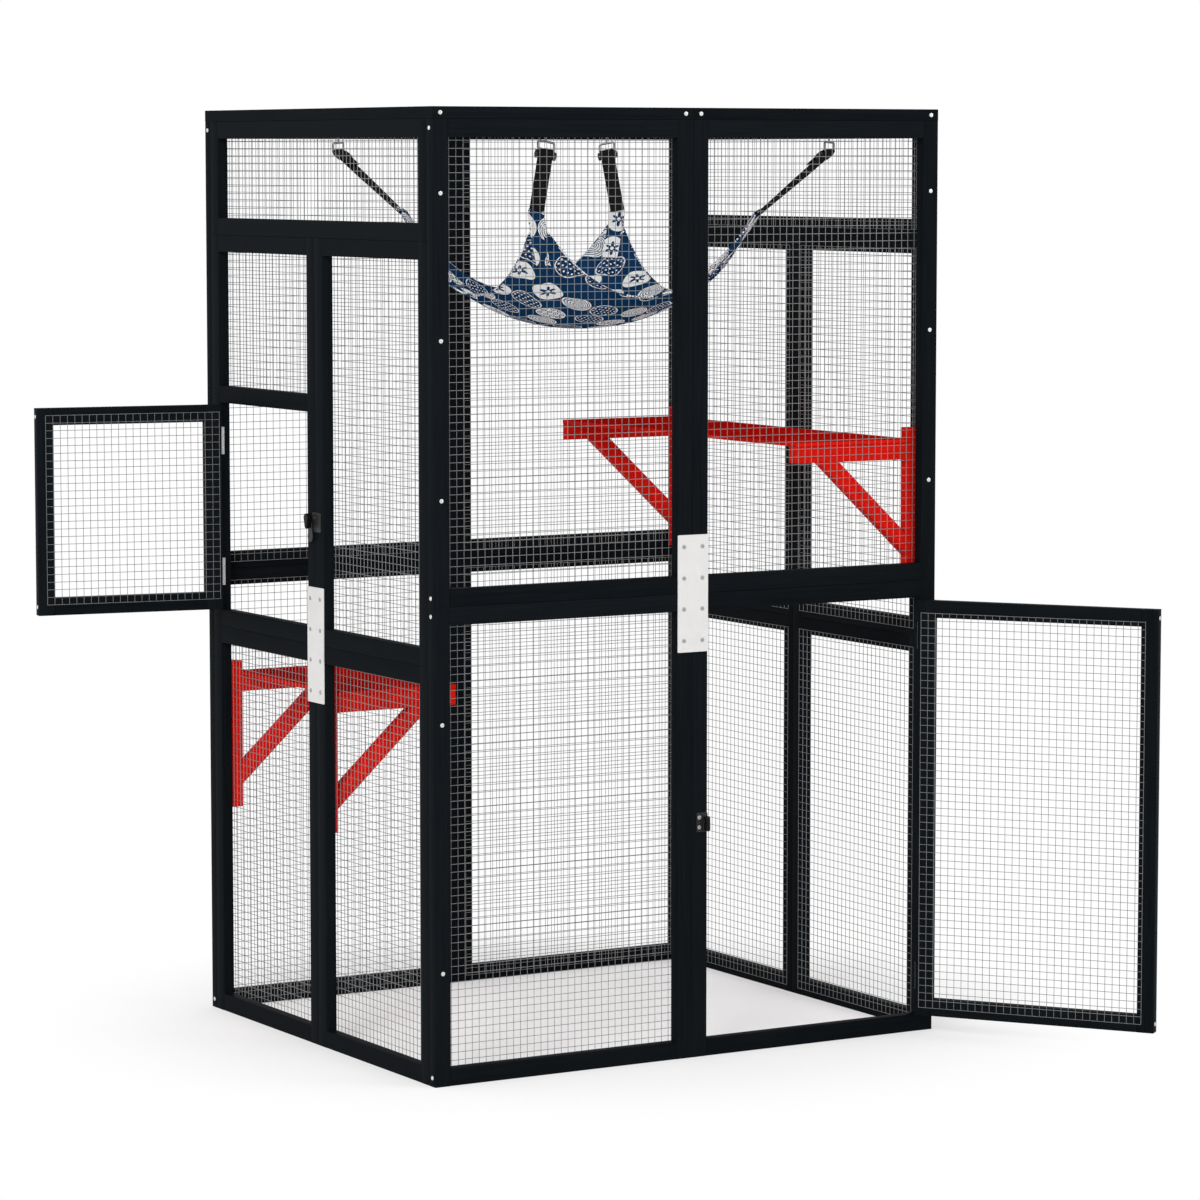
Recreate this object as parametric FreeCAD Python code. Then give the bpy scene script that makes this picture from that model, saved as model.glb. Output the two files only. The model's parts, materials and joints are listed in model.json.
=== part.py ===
import FreeCAD, Part
import math
import os

Vec = FreeCAD.Vector

# Driving dimensions, in millimetres. Origin: middle of the footprint on the ground, front towards -Y.

# Enclosure
width = 1100.0              # outside, along the front
depth = 930.0               # outside, front to back
height = 1780.0             # ground to the top of the roof
timber_face = 33.0          # stiles and rails, seen from outside
timber_thick = 22.0         # stiles and rails, through the wall
timber_ease = 1.0           # eased long edges
strip_height = 220.0        # top strip of each side wall

# Welded mesh, drawn at every tenth wire
mesh_wire = 0.9
mesh_pitch = 145.0
mesh_lap = 8.0              # how far a sheet overlaps its frame

# Doors
door_gap = 3.0              # all round each leaf
cat_door_height = 408.0     # doorway in the left wall
front_door_open = 126.0     # degrees, as the doors stand
cat_door_open = 99.0

# Hinges
hinge_height = 54.0
hinge_plate = 18.0          # width of one plate
hinge_plate_thick = 1.0
knuckle_radius = 3.0
pin_radius = 1.4
pin_clearance = 0.05
knuckle_clearance = 0.3
hinge_inset = 45.0          # door edge to the near end of a hinge
round_flats = 16            # flats that stand for a small round

# Latches
latch_plate_wide = 24.0
latch_plate_high = 37.0
latch_plate_thick = 2.0
latch_corner = 3.0          # cut corners of the plate
front_plate_edge = 0.0      # doorway edge of the post to the plate
front_pivot_edge = 6.0      # doorway edge of the post to the pivot
front_lever_length = 18.0   # pivot to the tip of the tab
front_latch_rise = 7.0      # above the middle of the doorway
cat_plate_edge = 23.0       # this plate lies over the seam of two posts
cat_pivot_edge = 20.0
cat_lever_length = 38.0
cat_latch_rise = -3.5
lever_clearance = 0.4
lever_thick = 3.0
lever_boss_radius = 6.5
lever_boss_high = 13.0
lever_tab_radius = 5.5
lever_neck = 4.5
latch_screw_gap = 2.0       # boss to the edge of a screw head

# Joining plates and screws
plate_wide = 66.0
plate_high = 220.0
plate_thick = 2.0
plate_screw_x = 20.0
plate_screw_rows = (29.0, 88.0)
head_radius = 4.0
head_high = 1.2
bolt_shares = (0.1189, 0.3783, 0.6098, 0.7736, 0.9243)  # of the walls' height, from the ground up

# Platforms
leg_length = 291.0
leg_thick = 24.0            # out from the wall
bracket_thick = 22.0        # along the wall
arm_high = 32.0
arm_drop = 29.0             # top of a leg to the top of its arm
platform_reach = 280.0      # wall mesh to the end of an arm
board_thick = 8.0
board_overhang = 2.0        # past a bracket, at the end away from a wall
board_clearance = 1.7       # end of a board to the wall mesh
brace_wide = 30.0
brace_angle = 42.6          # degrees below level
brace_start = 55.0          # end of the arm to the brace
right_leg_foot = 881.0
left_leg_foot = 406.0

# Hammock
cloth_half_x = 245.0
cloth_half_y = 261.0
cloth_thick = 4.0
corner_height = 1580.0
edge_height = 1425.0        # middle of each free edge
middle_height = 1356.0
edge_draw = 14.0            # how far the free edges draw in
hammock_x = 26.0            # middle of the hammock, right of the middle of the roof
cloth_facets = 12           # straight runs across the cloth
strap_wide = 28.0
strap_thick = 2.0
strap_clearance = 0.3
hook_x = 310.0
hook_y = 414.0
hook_wire = 1.5             # radius
hook_drop = 55.0            # roof mesh to the hook's cross bar
hook_tip = 9.0
hook_facets = 8             # straight runs round the half turn
cross_bar = 32.0
slider_wide = 37.0
slider_high = 15.0
slider_thick = 7.0
slider_down = 14.0          # cross bar to the middle of the slider
slot_overrun = 1.0          # how far the cut for a strap passes each face of its slider

# Worked out from the dimensions above
half_w = width / 2.0
half_d = depth / 2.0
wall_top = height - timber_thick
front_panel_high = wall_top / 2.0
side_panel_high = (wall_top - strip_height) / 2.0
side_half = half_d - timber_thick
mesh_thick = 2.0 * mesh_wire
mesh_inside = timber_thick + mesh_thick
head_flats = round_flats // 2
bolt_heights = [share * wall_top for share in bolt_shares]

WALLS = {
    "front": (Vec(0, -half_d, 0), Vec(1, 0, 0), Vec(0, 0, 1), Vec(0, 1, 0)),
    "back": (Vec(0, half_d, 0), Vec(1, 0, 0), Vec(0, 0, 1), Vec(0, -1, 0)),
    "left": (Vec(-half_w, 0, 0), Vec(0, 1, 0), Vec(0, 0, 1), Vec(1, 0, 0)),
    "right": (Vec(half_w, 0, 0), Vec(0, 1, 0), Vec(0, 0, 1), Vec(-1, 0, 0)),
    "roof": (Vec(0, 0, height), Vec(1, 0, 0), Vec(0, 1, 0), Vec(0, 0, -1)),
}


def at(wall, u, v, w):
    """A point u along a wall, v up it and w inwards from its outer face."""
    origin, along, up, inward = WALLS[wall]
    return origin + along * u + up * v + inward * w


def slab(wall, u0, u1, v0, v1, w0, w1):
    """A straight-sided block in wall coordinates."""
    a = at(wall, u0, v0, w0)
    b = at(wall, u1, v1, w1)
    low = Vec(min(a.x, b.x), min(a.y, b.y), min(a.z, b.z))
    high = Vec(max(a.x, b.x), max(a.y, b.y), max(a.z, b.z))
    size = high - low
    return Part.makeBox(size.x, size.y, size.z, low)


def eased(block):
    """A stick of timber: a block with its four long edges eased."""
    longest = max(edge.Length for edge in block.Edges)
    edges = [edge for edge in block.Edges if edge.Length > longest - 1e-6]
    return block.makeChamfer(timber_ease, edges)


def stick(wall, u0, u1, v0, v1):
    return eased(slab(wall, u0, u1, v0, v1, 0, timber_thick))


def frame(wall, u0, u1, v0, v1, stiles_run=True):
    """Two stiles and two rails butted together. The stiles run through unless told otherwise."""
    face = timber_face
    if stiles_run:
        return [
            stick(wall, u0, u0 + face, v0, v1),
            stick(wall, u1 - face, u1, v0, v1),
            stick(wall, u0 + face, u1 - face, v0, v0 + face),
            stick(wall, u0 + face, u1 - face, v1 - face, v1),
        ]
    return [
        stick(wall, u0, u1, v0, v0 + face),
        stick(wall, u0, u1, v1 - face, v1),
        stick(wall, u0, u0 + face, v0 + face, v1 - face),
        stick(wall, u1 - face, u1, v0 + face, v1 - face),
    ]


def spread(low, high):
    """Bar positions from one edge of a sheet to the other, about mesh_pitch apart."""
    count = max(2, round((high - low) / mesh_pitch))
    return [low + (high - low) * i / count for i in range(count + 1)]


def net(wall, columns, rows):
    """One sheet of mesh: upright wires on the frame's inner face, and level wires welded across them."""
    half = mesh_wire / 2.0
    weld = timber_thick + mesh_wire
    wires = []
    for u in columns:
        wires.append(slab(wall, u - half, u + half, rows[0] - half, rows[-1] + half, timber_thick, weld))
    for v in rows:
        wires.append(slab(wall, columns[0] - half, columns[-1] + half, v - half, v + half, weld, mesh_inside))
    return wires


def sheet(wall, u0, u1, v0, v1):
    """Mesh over the opening of a frame with the outside u0..u1, v0..v1."""
    inset = timber_face - mesh_lap
    return net(wall, spread(u0 + inset, u1 - inset), spread(v0 + inset, v1 - inset))


def prism(point, direction, side, radius, length, flats):
    """A round drawn with flats, its corners on the radius. side is square to direction."""
    other = direction.cross(side)
    turns = [math.radians(360.0 * i / flats) for i in range(flats + 1)]
    rim = [point + side * (radius * math.cos(a)) + other * (radius * math.sin(a)) for a in turns]
    return Part.Face(Part.makePolygon(rim)).extrude(direction * length)


def edge_head(point, direction):
    """A low screw head standing on the face at point."""
    return prism(point, direction, Vec(0, 0, 1), head_radius, head_high, head_flats)


def head(wall, u, v, w=0.0):
    """A screw head on a face at depth w of a wall."""
    return edge_head(at(wall, u, v, w), WALLS[wall][3] * -1.0)


nodes = {}

# Front and back walls: two panels wide, two high
wall_meshes = {"front": [], "back": []}
front_levels = (("lower", 0.0, front_panel_high), ("upper", front_panel_high, wall_top))
halves = (("left", -half_w, 0.0), ("right", 0.0, half_w))
for wall in ("front", "back"):
    for level, v0, v1 in front_levels:
        for side, u0, u1 in halves:
            doorway = wall == "front" and level == "lower" and side == "right"
            name = "front_doorway_frame" if doorway else "%s_%s_%s_frame" % (wall, level, side)
            nodes[name] = frame(wall, u0, u1, v0, v1)
            if not doorway:
                wall_meshes[wall] += sheet(wall, u0, u1, v0, v1)
    nodes[wall + "_wall_mesh"] = wall_meshes[wall]

# Side walls: a top strip over two levels of half-width panels, between the front and back walls
cat_rail = side_panel_high + timber_face + cat_door_height
side_levels = (("lower", 0.0, side_panel_high), ("middle", side_panel_high, 2.0 * side_panel_high))
side_halves = (("front", -side_half, 0.0), ("rear", 0.0, side_half))
strip_foot = 2.0 * side_panel_high
for wall in ("left", "right"):
    meshes = sheet(wall, -side_half, side_half, strip_foot, wall_top)
    nodes[wall + "_top_strip_frame"] = frame(wall, -side_half, side_half, strip_foot, wall_top)
    for level, v0, v1 in side_levels:
        for end, u0, u1 in side_halves:
            catway = wall == "left" and level == "middle" and end == "rear"
            name = "cat_doorway_frame" if catway else "%s_%s_%s_frame" % (wall, level, end)
            nodes[name] = frame(wall, u0, u1, v0, v1)
            if catway:
                nodes[name].append(stick(wall, u0 + timber_face, u1 - timber_face, cat_rail, cat_rail + timber_face))
                meshes += sheet(wall, u0, u1, cat_rail, v1)
            else:
                meshes += sheet(wall, u0, u1, v0, v1)
    nodes[wall + "_wall_mesh"] = meshes

# Roof: two panels, with a mesh wire where the hammock's hooks hang
roof_meshes = []
inset = timber_face - mesh_lap
for side, u0, u1 in halves:
    nodes["roof_%s_frame" % side] = frame("roof", u0, u1, -half_d, half_d, stiles_run=False)
    columns = spread(u0 + inset, u1 - inset)
    rows = [-half_d + inset] + spread(-hook_y, hook_y) + [half_d - inset]
    roof_meshes += net("roof", columns, rows)
nodes["roof_mesh"] = roof_meshes


def hinge(axis_at, across, inward, foot):
    """One butt hinge, closed: the fixed plate, the moving plate and the pin.
    across points from the door to its post, inward from the outer face to the inside."""
    third = hinge_height / 3.0
    up = Vec(0, 0, 1)
    base = axis_at + up * foot

    def plate(side, knuckles):
        near = across * (side * (door_gap / 2.0 - hinge_plate_thick))
        corner = base + near + inward * (knuckle_radius + knuckle_clearance)
        outline = [
            corner,
            corner + across * (side * hinge_plate_thick),
            corner + across * (side * hinge_plate_thick) + inward * (hinge_plate - knuckle_clearance),
            corner + inward * (hinge_plate - knuckle_clearance),
            corner,
        ]
        solid = Part.Face(Part.makePolygon(outline)).extrude(up * hinge_height)
        for z0, z1 in knuckles:
            barrel = prism(base + up * z0, up, across, knuckle_radius, z1 - z0, round_flats)
            tongue = [
                base + near + up * z0,
                base + near + across * (side * hinge_plate_thick) + up * z0,
                corner + across * (side * hinge_plate_thick) + up * z0 + inward,
                corner + up * z0 + inward,
                base + near + up * z0,
            ]
            link = Part.Face(Part.makePolygon(tongue)).extrude(up * (z1 - z0))
            solid = solid.fuse([barrel, link])
        bore_radius = (pin_radius + pin_clearance) / math.cos(math.pi / round_flats)
        bore = prism(base, up, across, bore_radius, hinge_height, round_flats)
        return solid.cut(bore).removeSplitter()

    slack = knuckle_clearance / 2.0
    fixed = plate(1.0, ((0.0, third - slack), (2.0 * third + slack, hinge_height)))
    moving = plate(-1.0, ((third + slack, 2.0 * third - slack),))
    pin = prism(base, up, across, pin_radius, hinge_height, round_flats)
    return fixed, moving, pin


def door(prefix, wall, u0, u1, v0, v1, hinge_u, free_u, turn):
    """A framed and meshed leaf in the opening u0..u1, v0..v1, standing open by turn degrees."""
    a0 = u0 + door_gap
    a1 = u1 - door_gap
    b0 = v0 + door_gap
    b1 = v1 - door_gap
    away = 1.0 if hinge_u > free_u else -1.0
    along = WALLS[wall][1] * away
    inward = WALLS[wall][3]
    axis = at(wall, hinge_u - away * door_gap / 2.0, 0.0, -knuckle_radius)
    pieces = {"frame": frame(wall, a0, a1, b0, b1), "mesh": sheet(wall, a0, a1, b0, b1)}
    free_edge = at(wall, free_u + away * door_gap, 0.0, timber_thick / 2.0)
    pieces["screws"] = [
        edge_head(free_edge + Vec(0, 0, z), along * -1.0)
        for z in (b0 + timber_face / 2.0, b1 - timber_face / 2.0)
    ]
    fixed, moving, pins = [], [], []
    for foot in (b0 + hinge_inset, b1 - hinge_inset - hinge_height):
        plate, leaf, pin = hinge(axis, along, inward, foot)
        fixed.append(plate)
        moving.append(leaf)
        pins.append(pin)
    pieces["hinge_leaves"] = moving
    for kind, solids in pieces.items():
        for solid in solids:
            solid.rotate(axis, Vec(0, 0, 1), turn)
        nodes["%s_%s" % (prefix, kind)] = solids
    nodes[prefix + "_hinge_plates"] = fixed
    nodes[prefix + "_hinge_pins"] = pins


# Front door, hinged on the right post of its doorway
front_left = timber_face
front_right = half_w - timber_face
door("front_door", "front", front_left, front_right, timber_face, front_panel_high - timber_face,
     front_right, front_left, front_door_open)

# Cat door, hinged on the rear post of its doorway
cat_front = timber_face
cat_rear = side_half - timber_face
cat_foot = side_panel_high + timber_face
door("cat_door", "left", cat_front, cat_rear, cat_foot, cat_rail, cat_rear, cat_front, -cat_door_open)


def latch(prefix, wall, plate_end, pivot_u, lever_length, level):
    """A turning latch on a post: a plate with two screws and a lever whose tab hangs down."""
    low = level - latch_plate_high / 2.0
    plate = slab(wall, plate_end - latch_plate_wide, plate_end, low, low + latch_plate_high, -latch_plate_thick, 0)
    outward = WALLS[wall][3] * -1.0
    corners = [edge for edge in plate.Edges if abs(edge.tangentAt(edge.FirstParameter).dot(outward)) > 0.9]
    nodes[prefix + "_latch_plate"] = [plate.makeChamfer(latch_corner, corners)]
    lift = latch_plate_thick + lever_clearance
    pivot = at(wall, pivot_u, level, -lift)
    tip_v = level - lever_length + lever_tab_radius
    up = Vec(0, 0, 1)
    boss = prism(pivot, outward, up, lever_boss_radius, lever_boss_high, round_flats)
    tab = prism(at(wall, pivot_u, tip_v, -lift), outward, up, lever_tab_radius, lever_thick, round_flats)
    arm = slab(wall, pivot_u - lever_neck, pivot_u + lever_neck, tip_v, level, -lift - lever_thick, -lift)
    nodes[prefix + "_latch_lever"] = [boss.fuse([tab, arm]).removeSplitter()]
    screw_u = min(plate_end - latch_plate_wide / 2.0, pivot_u - lever_boss_radius - latch_screw_gap - head_radius)
    return [head(wall, screw_u, level + side * latch_plate_high / 4.0, -latch_plate_thick) for side in (-1, 1)]


front_latch_level = front_panel_high / 2.0 + front_latch_rise
cat_latch_level = (cat_foot + cat_rail) / 2.0 + cat_latch_rise
nodes["latch_screws"] = (
    latch("front", "front", front_left - front_plate_edge, front_left - front_pivot_edge,
          front_lever_length, front_latch_level)
    + latch("cat", "left", cat_front - cat_plate_edge, cat_front - cat_pivot_edge,
            cat_lever_length, cat_latch_level)
)

# Joining plates where four panels meet, with their screws
joining_plates, plate_screws = [], []
for wall, seam in (("front", front_panel_high), ("back", front_panel_high),
                   ("left", side_panel_high), ("right", side_panel_high)):
    joining_plates.append(slab(wall, -plate_wide / 2.0, plate_wide / 2.0,
                               seam - plate_high / 2.0, seam + plate_high / 2.0, -plate_thick, 0))
    for row in plate_screw_rows:
        for across in (-plate_screw_x, plate_screw_x):
            for up in (-row, row):
                plate_screws.append(head(wall, across, seam + up, -plate_thick))
nodes["joining_plates"] = joining_plates
nodes["plate_screws"] = plate_screws

# Bolts through the front and back walls into the side walls
bolt_u = half_w - timber_face / 2.0
nodes["wall_bolts"] = [
    head(wall, u, v)
    for wall in ("front", "back")
    for u in (-bolt_u, bolt_u)
    for v in bolt_heights
]

# Screws that hold the rails, seen on the outer edges of the front, back and roof panels
rail_mid = timber_face / 2.0
rail_levels = (rail_mid, front_panel_high - rail_mid, front_panel_high + rail_mid, wall_top - rail_mid)
frame_screws = []
for side in (-1.0, 1.0):
    for y in (-half_d + timber_thick / 2.0, half_d - timber_thick / 2.0):
        for z in rail_levels:
            frame_screws.append(edge_head(Vec(side * half_w, y, z), Vec(side, 0, 0)))
    for x in (-bolt_u, -rail_mid, rail_mid, bolt_u):
        frame_screws.append(edge_head(Vec(x, side * half_d, height - timber_thick / 2.0), Vec(0, side, 0)))
nodes["frame_screws"] = frame_screws


def platform(prefix, wall, foot, middles, ends):
    """A board from end to end on two wall brackets. Each bracket is a leg, an arm and a brace."""
    wall_w = mesh_inside
    leg_w = wall_w + leg_thick
    end_w = wall_w + platform_reach
    arm_top = foot + leg_length - arm_drop
    arm_foot = arm_top - arm_high
    half = bracket_thick / 2.0
    slope = math.tan(math.radians(brace_angle))
    level_wide = brace_wide / math.sin(math.radians(brace_angle))
    outer_w = end_w - brace_start
    inner_w = outer_w - level_wide
    legs, arms, braces = [], [], []
    for mid in middles:
        legs.append(eased(slab(wall, mid - half, mid + half, foot, foot + leg_length, wall_w, leg_w)))
        arms.append(eased(slab(wall, mid - half, mid + half, arm_foot, arm_top, leg_w, end_w)))
        outline = [
            (outer_w, arm_foot),
            (inner_w, arm_foot),
            (leg_w, arm_foot - (inner_w - leg_w) * slope),
            (leg_w, arm_foot - (outer_w - leg_w) * slope),
            (outer_w, arm_foot),
        ]
        face = Part.Face(Part.makePolygon([at(wall, mid - half, v, w) for w, v in outline]))
        braces.append(face.extrude(WALLS[wall][1] * bracket_thick))
    nodes[prefix + "_platform_legs"] = legs
    nodes[prefix + "_platform_arms"] = arms
    nodes[prefix + "_platform_braces"] = braces
    board = slab(wall, ends[0], ends[1], arm_top, arm_top + board_thick, leg_w, end_w)
    rims = [edge for edge in board.Edges if edge.Length > board_thick + 1e-6]
    nodes[prefix + "_platform_board"] = [board.makeChamfer(timber_ease, rims)]


stile_mid = side_half - timber_face / 2.0
board_end = side_half - mesh_thick - board_clearance
near_end = rail_mid - bracket_thick / 2.0 - board_overhang
platform("right", "right", right_leg_foot, (-stile_mid, stile_mid), (-board_end, board_end))
platform("left", "left", left_leg_foot, (rail_mid, stile_mid), (near_end, board_end))


def cloth_section(x, half_y, edge_z, low_z):
    """A strip across the cloth at x: a hanging line and the same line a cloth thickness above it."""
    lower = []
    for i in range(cloth_facets + 1):
        across = 2.0 * i / cloth_facets - 1.0
        lower.append(Vec(x, half_y * across, low_z + (edge_z - low_z) * across * across))
    upper = [point + Vec(0, 0, cloth_thick) for point in reversed(lower)]
    return Part.makePolygon(lower + upper + lower[:1])


# Hammock cloth: a square sheet hung by its corners, its free edges drawn in and hanging low
cloth_stations = (-1.0, -0.8, -0.6, -0.4, -0.2, 0.0, 0.2, 0.4, 0.6, 0.8, 1.0)
sections = []
for station in cloth_stations:
    rise = station * station
    half_y = cloth_half_y - edge_draw * (1.0 - rise)
    edge_z = edge_height + (corner_height - edge_height) * rise
    low_z = middle_height + (edge_height - middle_height) * rise
    sections.append(cloth_section(hammock_x + station * cloth_half_x, half_y, edge_z, low_z))
nodes["hammock_cloth"] = [Part.makeLoft(sections, True, True)]

roof_mesh_foot = wall_top - mesh_thick
roof_wire_middle = roof_mesh_foot + mesh_wire / 2.0
hook_bend = mesh_wire / 2.0 + strap_clearance + hook_wire


def wire_hook(foot, outward, across):
    """A bent hook over one roof wire: a stem, a half turn and a short tip, with a cross bar for the strap."""
    up = Vec(0, 0, 1)
    centre = Vec(foot.x, foot.y, roof_wire_middle) + outward * hook_bend
    inner = (hook_bend - hook_wire) / math.cos(math.pi / 2.0 / hook_facets)
    outer = hook_bend + hook_wire
    drop = up * hook_tip
    stem = up * (roof_wire_middle - foot.z)

    def half_turn(radius):
        turns = [math.pi * i / hook_facets for i in range(hook_facets + 1)]
        return [centre + outward * (-radius * math.cos(a)) + up * (radius * math.sin(a)) for a in turns]

    over = half_turn(outer)
    under = half_turn(inner)[::-1]
    outline = [over[0] - stem] + over + [over[-1] - drop, under[0] - drop] + under + [under[-1] - stem]
    sideways = outward.cross(up)
    bent = Part.Face(Part.makePolygon(outline + outline[:1])).extrude(sideways * (2.0 * hook_wire))
    bent.translate(sideways * -hook_wire)
    bar = prism(foot - across * (cross_bar / 2.0), across, across.cross(up).normalize(), hook_wire, cross_bar, head_flats)
    return bent.fuse(bar).removeSplitter()


# Straps, sliders and hooks at the four corners
straps, sliders, hooks = [], [], []
for sx in (-1.0, 1.0):
    for sy in (-1.0, 1.0):
        corner = Vec(hammock_x + sx * cloth_half_x, sy * cloth_half_y, corner_height + cloth_thick / 2.0)
        bar_at = Vec(hammock_x + sx * hook_x, sy * (hook_y - hook_bend), roof_mesh_foot - hook_drop)
        run = bar_at - corner
        pull = Vec(run.x, run.y, run.z)
        pull.normalize()
        level = Vec(sx, -sy, 0)
        level.normalize()
        across = level - pull * level.dot(pull)
        across.normalize()
        facing = pull.cross(across)

        def block(start, length, wide, thick):
            base = start - across * (wide / 2.0) - facing * (thick / 2.0)
            points = [base, base + across * wide, base + across * wide + facing * thick, base + facing * thick, base]
            return Part.Face(Part.makePolygon(points)).extrude(pull * length)

        strap_start = corner + pull * (strap_thick / 2.0 + strap_clearance)
        strap_length = run.Length - strap_thick / 2.0 - hook_wire - 2.0 * strap_clearance
        straps.append(block(strap_start, strap_length, strap_wide, strap_thick))
        slider_start = bar_at - pull * (slider_down + slider_high / 2.0)
        slot_wide = strap_wide + 2.0 * strap_clearance
        slot_thick = strap_thick + 2.0 * strap_clearance
        slot_length = slider_high + 2.0 * slot_overrun
        slot = block(slider_start - pull * slot_overrun, slot_length, slot_wide, slot_thick)
        sliders.append(block(slider_start, slider_high, slider_wide, slider_thick).cut(slot))
        hooks.append(wire_hook(bar_at, Vec(0, sy, 0), across))
nodes["hammock_straps"] = straps
nodes["hammock_sliders"] = sliders
nodes["hammock_hooks"] = hooks

os.makedirs("parts", exist_ok=True)
for name, solids in nodes.items():
    shape = solids[0] if len(solids) == 1 else Part.makeCompound(solids)
    shape.exportStep("parts/%s.step" % name)
print("nodes:", len(nodes), "solids:", sum(len(solids) for solids in nodes.values()))
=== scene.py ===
import json
import math

import bpy
import numpy as np
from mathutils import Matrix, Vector


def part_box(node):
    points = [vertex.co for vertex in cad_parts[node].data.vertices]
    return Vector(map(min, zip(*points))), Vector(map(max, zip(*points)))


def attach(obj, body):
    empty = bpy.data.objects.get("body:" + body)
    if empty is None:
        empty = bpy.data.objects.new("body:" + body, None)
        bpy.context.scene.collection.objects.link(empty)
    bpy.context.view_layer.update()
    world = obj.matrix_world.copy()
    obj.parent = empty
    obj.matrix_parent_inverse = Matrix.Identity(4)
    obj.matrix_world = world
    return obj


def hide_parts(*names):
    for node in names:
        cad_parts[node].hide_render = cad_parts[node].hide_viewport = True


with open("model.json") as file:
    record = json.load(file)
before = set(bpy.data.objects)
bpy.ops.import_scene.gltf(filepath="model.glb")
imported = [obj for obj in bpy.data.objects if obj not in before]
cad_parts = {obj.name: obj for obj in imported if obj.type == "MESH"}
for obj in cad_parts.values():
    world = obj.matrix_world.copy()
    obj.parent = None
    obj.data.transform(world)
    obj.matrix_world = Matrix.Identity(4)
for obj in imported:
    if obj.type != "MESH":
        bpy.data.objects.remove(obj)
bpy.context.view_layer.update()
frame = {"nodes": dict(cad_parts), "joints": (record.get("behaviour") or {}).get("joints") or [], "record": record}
rng = np.random.default_rng(7)
joints = {joint["name"]: joint for joint in frame["joints"]}
bodyOf = {node: body for body, members in frame["record"]["behaviour"]["bodies"].items() for node in members}

timber = {"face": 0.033, "round": 0.0013, "endRound": 0.0004, "cornerSteps": 4,
          "slideAround": 7, "slideAlong": 9}  # how far the grain is slid from stick to stick
doors = {"gap": 0.003, "catHigh": 0.408}


# mesh building

def sweep(points, along, around):
    # k closed shells: n stations of an m-sided ring each, with a fan of triangles at both ends
    k, n, m, _ = points.shape
    hubs = points[:, [0, -1]].mean(2)
    verts = np.concatenate([points.reshape(k, n * m, 3), hubs], 1)
    i, j = np.meshgrid(np.arange(n - 1), np.arange(m), indexing="ij")
    a, b = i * m + j, i * m + (j + 1) % m
    quads = np.stack([a, b, b + m, a + m], -1).reshape(-1, 4)
    ring, after = np.arange(m), (np.arange(m) + 1) % m
    last = (n - 1) * m
    tris = np.concatenate([np.stack([ring * 0 + n * m, after, ring], -1),
                           np.stack([ring * 0 + n * m + 1, last + ring, last + after], -1)])
    along = np.broadcast_to(along, (k, n))
    around = np.broadcast_to(around, (k, m + 1))
    ii = np.stack([i, i, i + 1, i + 1], -1).reshape(-1, 4)
    jj = np.stack([j, j + 1, j + 1, j], -1).reshape(-1, 4)
    uvQuads = np.stack([along[:, ii], around[:, jj]], -1)
    capU = np.repeat(along[:, [0, -1]], m, 1)[:, :, None] * np.ones(3)
    capV = np.stack([np.tile(around[:, :m], 2)] * 2 + [np.tile(around[:, 1:], 2)], -1)
    uvTris = np.stack([capU, capV], -1)
    corner = verts[0][np.concatenate([quads[:, [0, 1, 2]], quads[:, [0, 2, 3]], tris])]
    if np.einsum("ij,ij->i", corner[:, 0], np.cross(corner[:, 1], corner[:, 2])).sum() < 0:  # turned inside out
        quads, tris = quads[:, ::-1], tris[:, ::-1]
        uvQuads, uvTris = uvQuads[:, :, ::-1], uvTris[:, :, ::-1]
    step = (np.arange(k) * (n * m + 2))[:, None, None]
    return {"verts": verts.reshape(-1, 3),
            "quads": (quads + step).reshape(-1, 4), "tris": (tris + step).reshape(-1, 3),
            "uvQuads": uvQuads.reshape(-1, 4, 2), "uvTris": uvTris.reshape(-1, 3, 2),
            "tone": np.repeat(rng.random(k), n * m + 2)}


def joinShells(shells):
    # several shells as one set of arrays, their vertex numbers following on
    starts = np.cumsum([0] + [len(s["verts"]) for s in shells[:-1]])
    joined = {key: np.concatenate([s[key] for s in shells]) for key in ("verts", "uvQuads", "uvTris", "tone")}
    for key in ("quads", "tris"):
        joined[key] = np.concatenate([s[key] + start for s, start in zip(shells, starts)])
    return joined


def makePiece(name, shell, material, body, replaces=(), sharp=40):
    # one object from a shell's arrays, smooth up to the sharp angle, riding on its body
    mesh = bpy.data.meshes.new(name)
    quads, tris = shell["quads"], shell["tris"]
    corners = np.concatenate([quads.ravel(), tris.ravel()])
    starts = np.concatenate([np.arange(len(quads)) * 4, len(quads) * 4 + np.arange(len(tris)) * 3])
    mesh.vertices.add(len(shell["verts"]))
    mesh.vertices.foreach_set("co", shell["verts"].astype(np.float32).ravel())
    mesh.loops.add(len(corners))
    mesh.loops.foreach_set("vertex_index", corners.astype(np.int32))
    mesh.polygons.add(len(starts))
    mesh.polygons.foreach_set("loop_start", starts.astype(np.int32))
    uv = np.concatenate([shell["uvQuads"].reshape(-1, 2), shell["uvTris"].reshape(-1, 2)])
    mesh.uv_layers.new(name="UVMap").data.foreach_set("uv", uv.astype(np.float32).ravel())
    mesh.attributes.new("tone", "FLOAT", "POINT").data.foreach_set("value", shell["tone"].astype(np.float32))
    mesh.update(calc_edges=True)
    mesh.shade_smooth()
    mesh.set_sharp_from_angle(angle=math.radians(sharp))
    mesh.materials.append(material)
    piece = bpy.data.objects.new(name, mesh)
    bpy.context.scene.collection.objects.link(piece)
    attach(piece, body)
    if replaces:
        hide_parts(*replaces)
    return piece


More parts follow.
